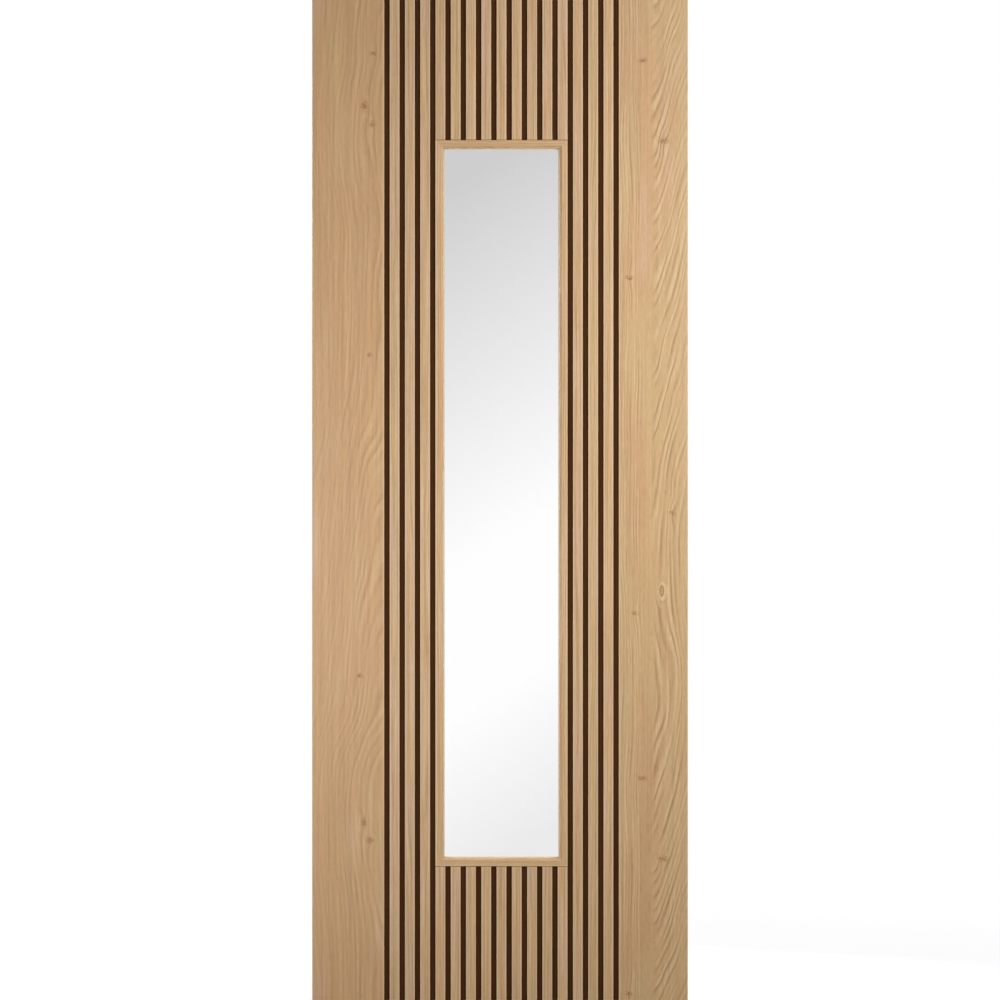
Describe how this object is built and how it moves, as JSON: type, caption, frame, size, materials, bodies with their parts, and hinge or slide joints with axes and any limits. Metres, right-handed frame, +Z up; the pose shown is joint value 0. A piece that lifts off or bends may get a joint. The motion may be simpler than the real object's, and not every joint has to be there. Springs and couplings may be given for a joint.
{
  "type": "glazed door",
  "caption": "Oak interior door leaf with upright slats and dark grooves on both faces, and a tall clear glass pane held between mitred beads.",
  "frame": {"origin": "foot of the hinge edge, midway through the leaf's thickness", "axes": "+X across the leaf from the hinge edge to the lock edge, +Y through the leaf from the front face to the back face, +Z up"},
  "size_m": [0.762, 0.035, 2.032],
  "materials": {
    "oak_stile": "crown-cut oak, sanded and clear lacquered, satin",
    "oak_slat": "oak, sanded and clear lacquered, satin",
    "oak_bead": "moulded oak, clear lacquered, satin",
    "oak_lipping": "solid oak, planed and clear lacquered, satin",
    "core_timber": "planed softwood, unfinished",
    "dark_board": "dark brown stained fibreboard, matt",
    "clear_glass": "clear toughened float glass",
    "glazing_seal": "clear silicone, tooled hollow, satin"
  },
  "bodies": {
    "root": {"left_lipping": "oak_lipping", "right_lipping": "oak_lipping", "left_stile": "oak_stile", "right_stile": "oak_stile", "top_rail": "core_timber", "bottom_rail": "core_timber", "left_mullion": "core_timber", "right_mullion": "core_timber", "glass_pane": "clear_glass", "front_glazing_seal": "glazing_seal", "back_glazing_seal": "glazing_seal", "front_left_board": "dark_board", "front_right_board": "dark_board", "front_top_board": "dark_board", "front_bottom_board": "dark_board", "back_left_board": "dark_board", "back_right_board": "dark_board", "back_top_board": "dark_board", "back_bottom_board": "dark_board", "front_top_slats": "oak_slat", "front_bottom_slats": "oak_slat", "front_left_slat_1": "oak_slat", "front_left_slat_2": "oak_slat", "front_left_slat_3": "oak_slat", "front_right_slat_1": "oak_slat", "front_right_slat_2": "oak_slat", "front_right_slat_3": "oak_slat", "back_top_slats": "oak_slat", "back_bottom_slats": "oak_slat", "back_left_slat_1": "oak_slat", "back_left_slat_2": "oak_slat", "back_left_slat_3": "oak_slat", "back_right_slat_1": "oak_slat", "back_right_slat_2": "oak_slat", "back_right_slat_3": "oak_slat", "front_top_bead": "oak_bead", "front_bottom_bead": "oak_bead", "front_left_bead": "oak_bead", "front_right_bead": "oak_bead", "back_top_bead": "oak_bead", "back_bottom_bead": "oak_bead", "back_left_bead": "oak_bead", "back_right_bead": "oak_bead"}
  },
  "joints": []
}
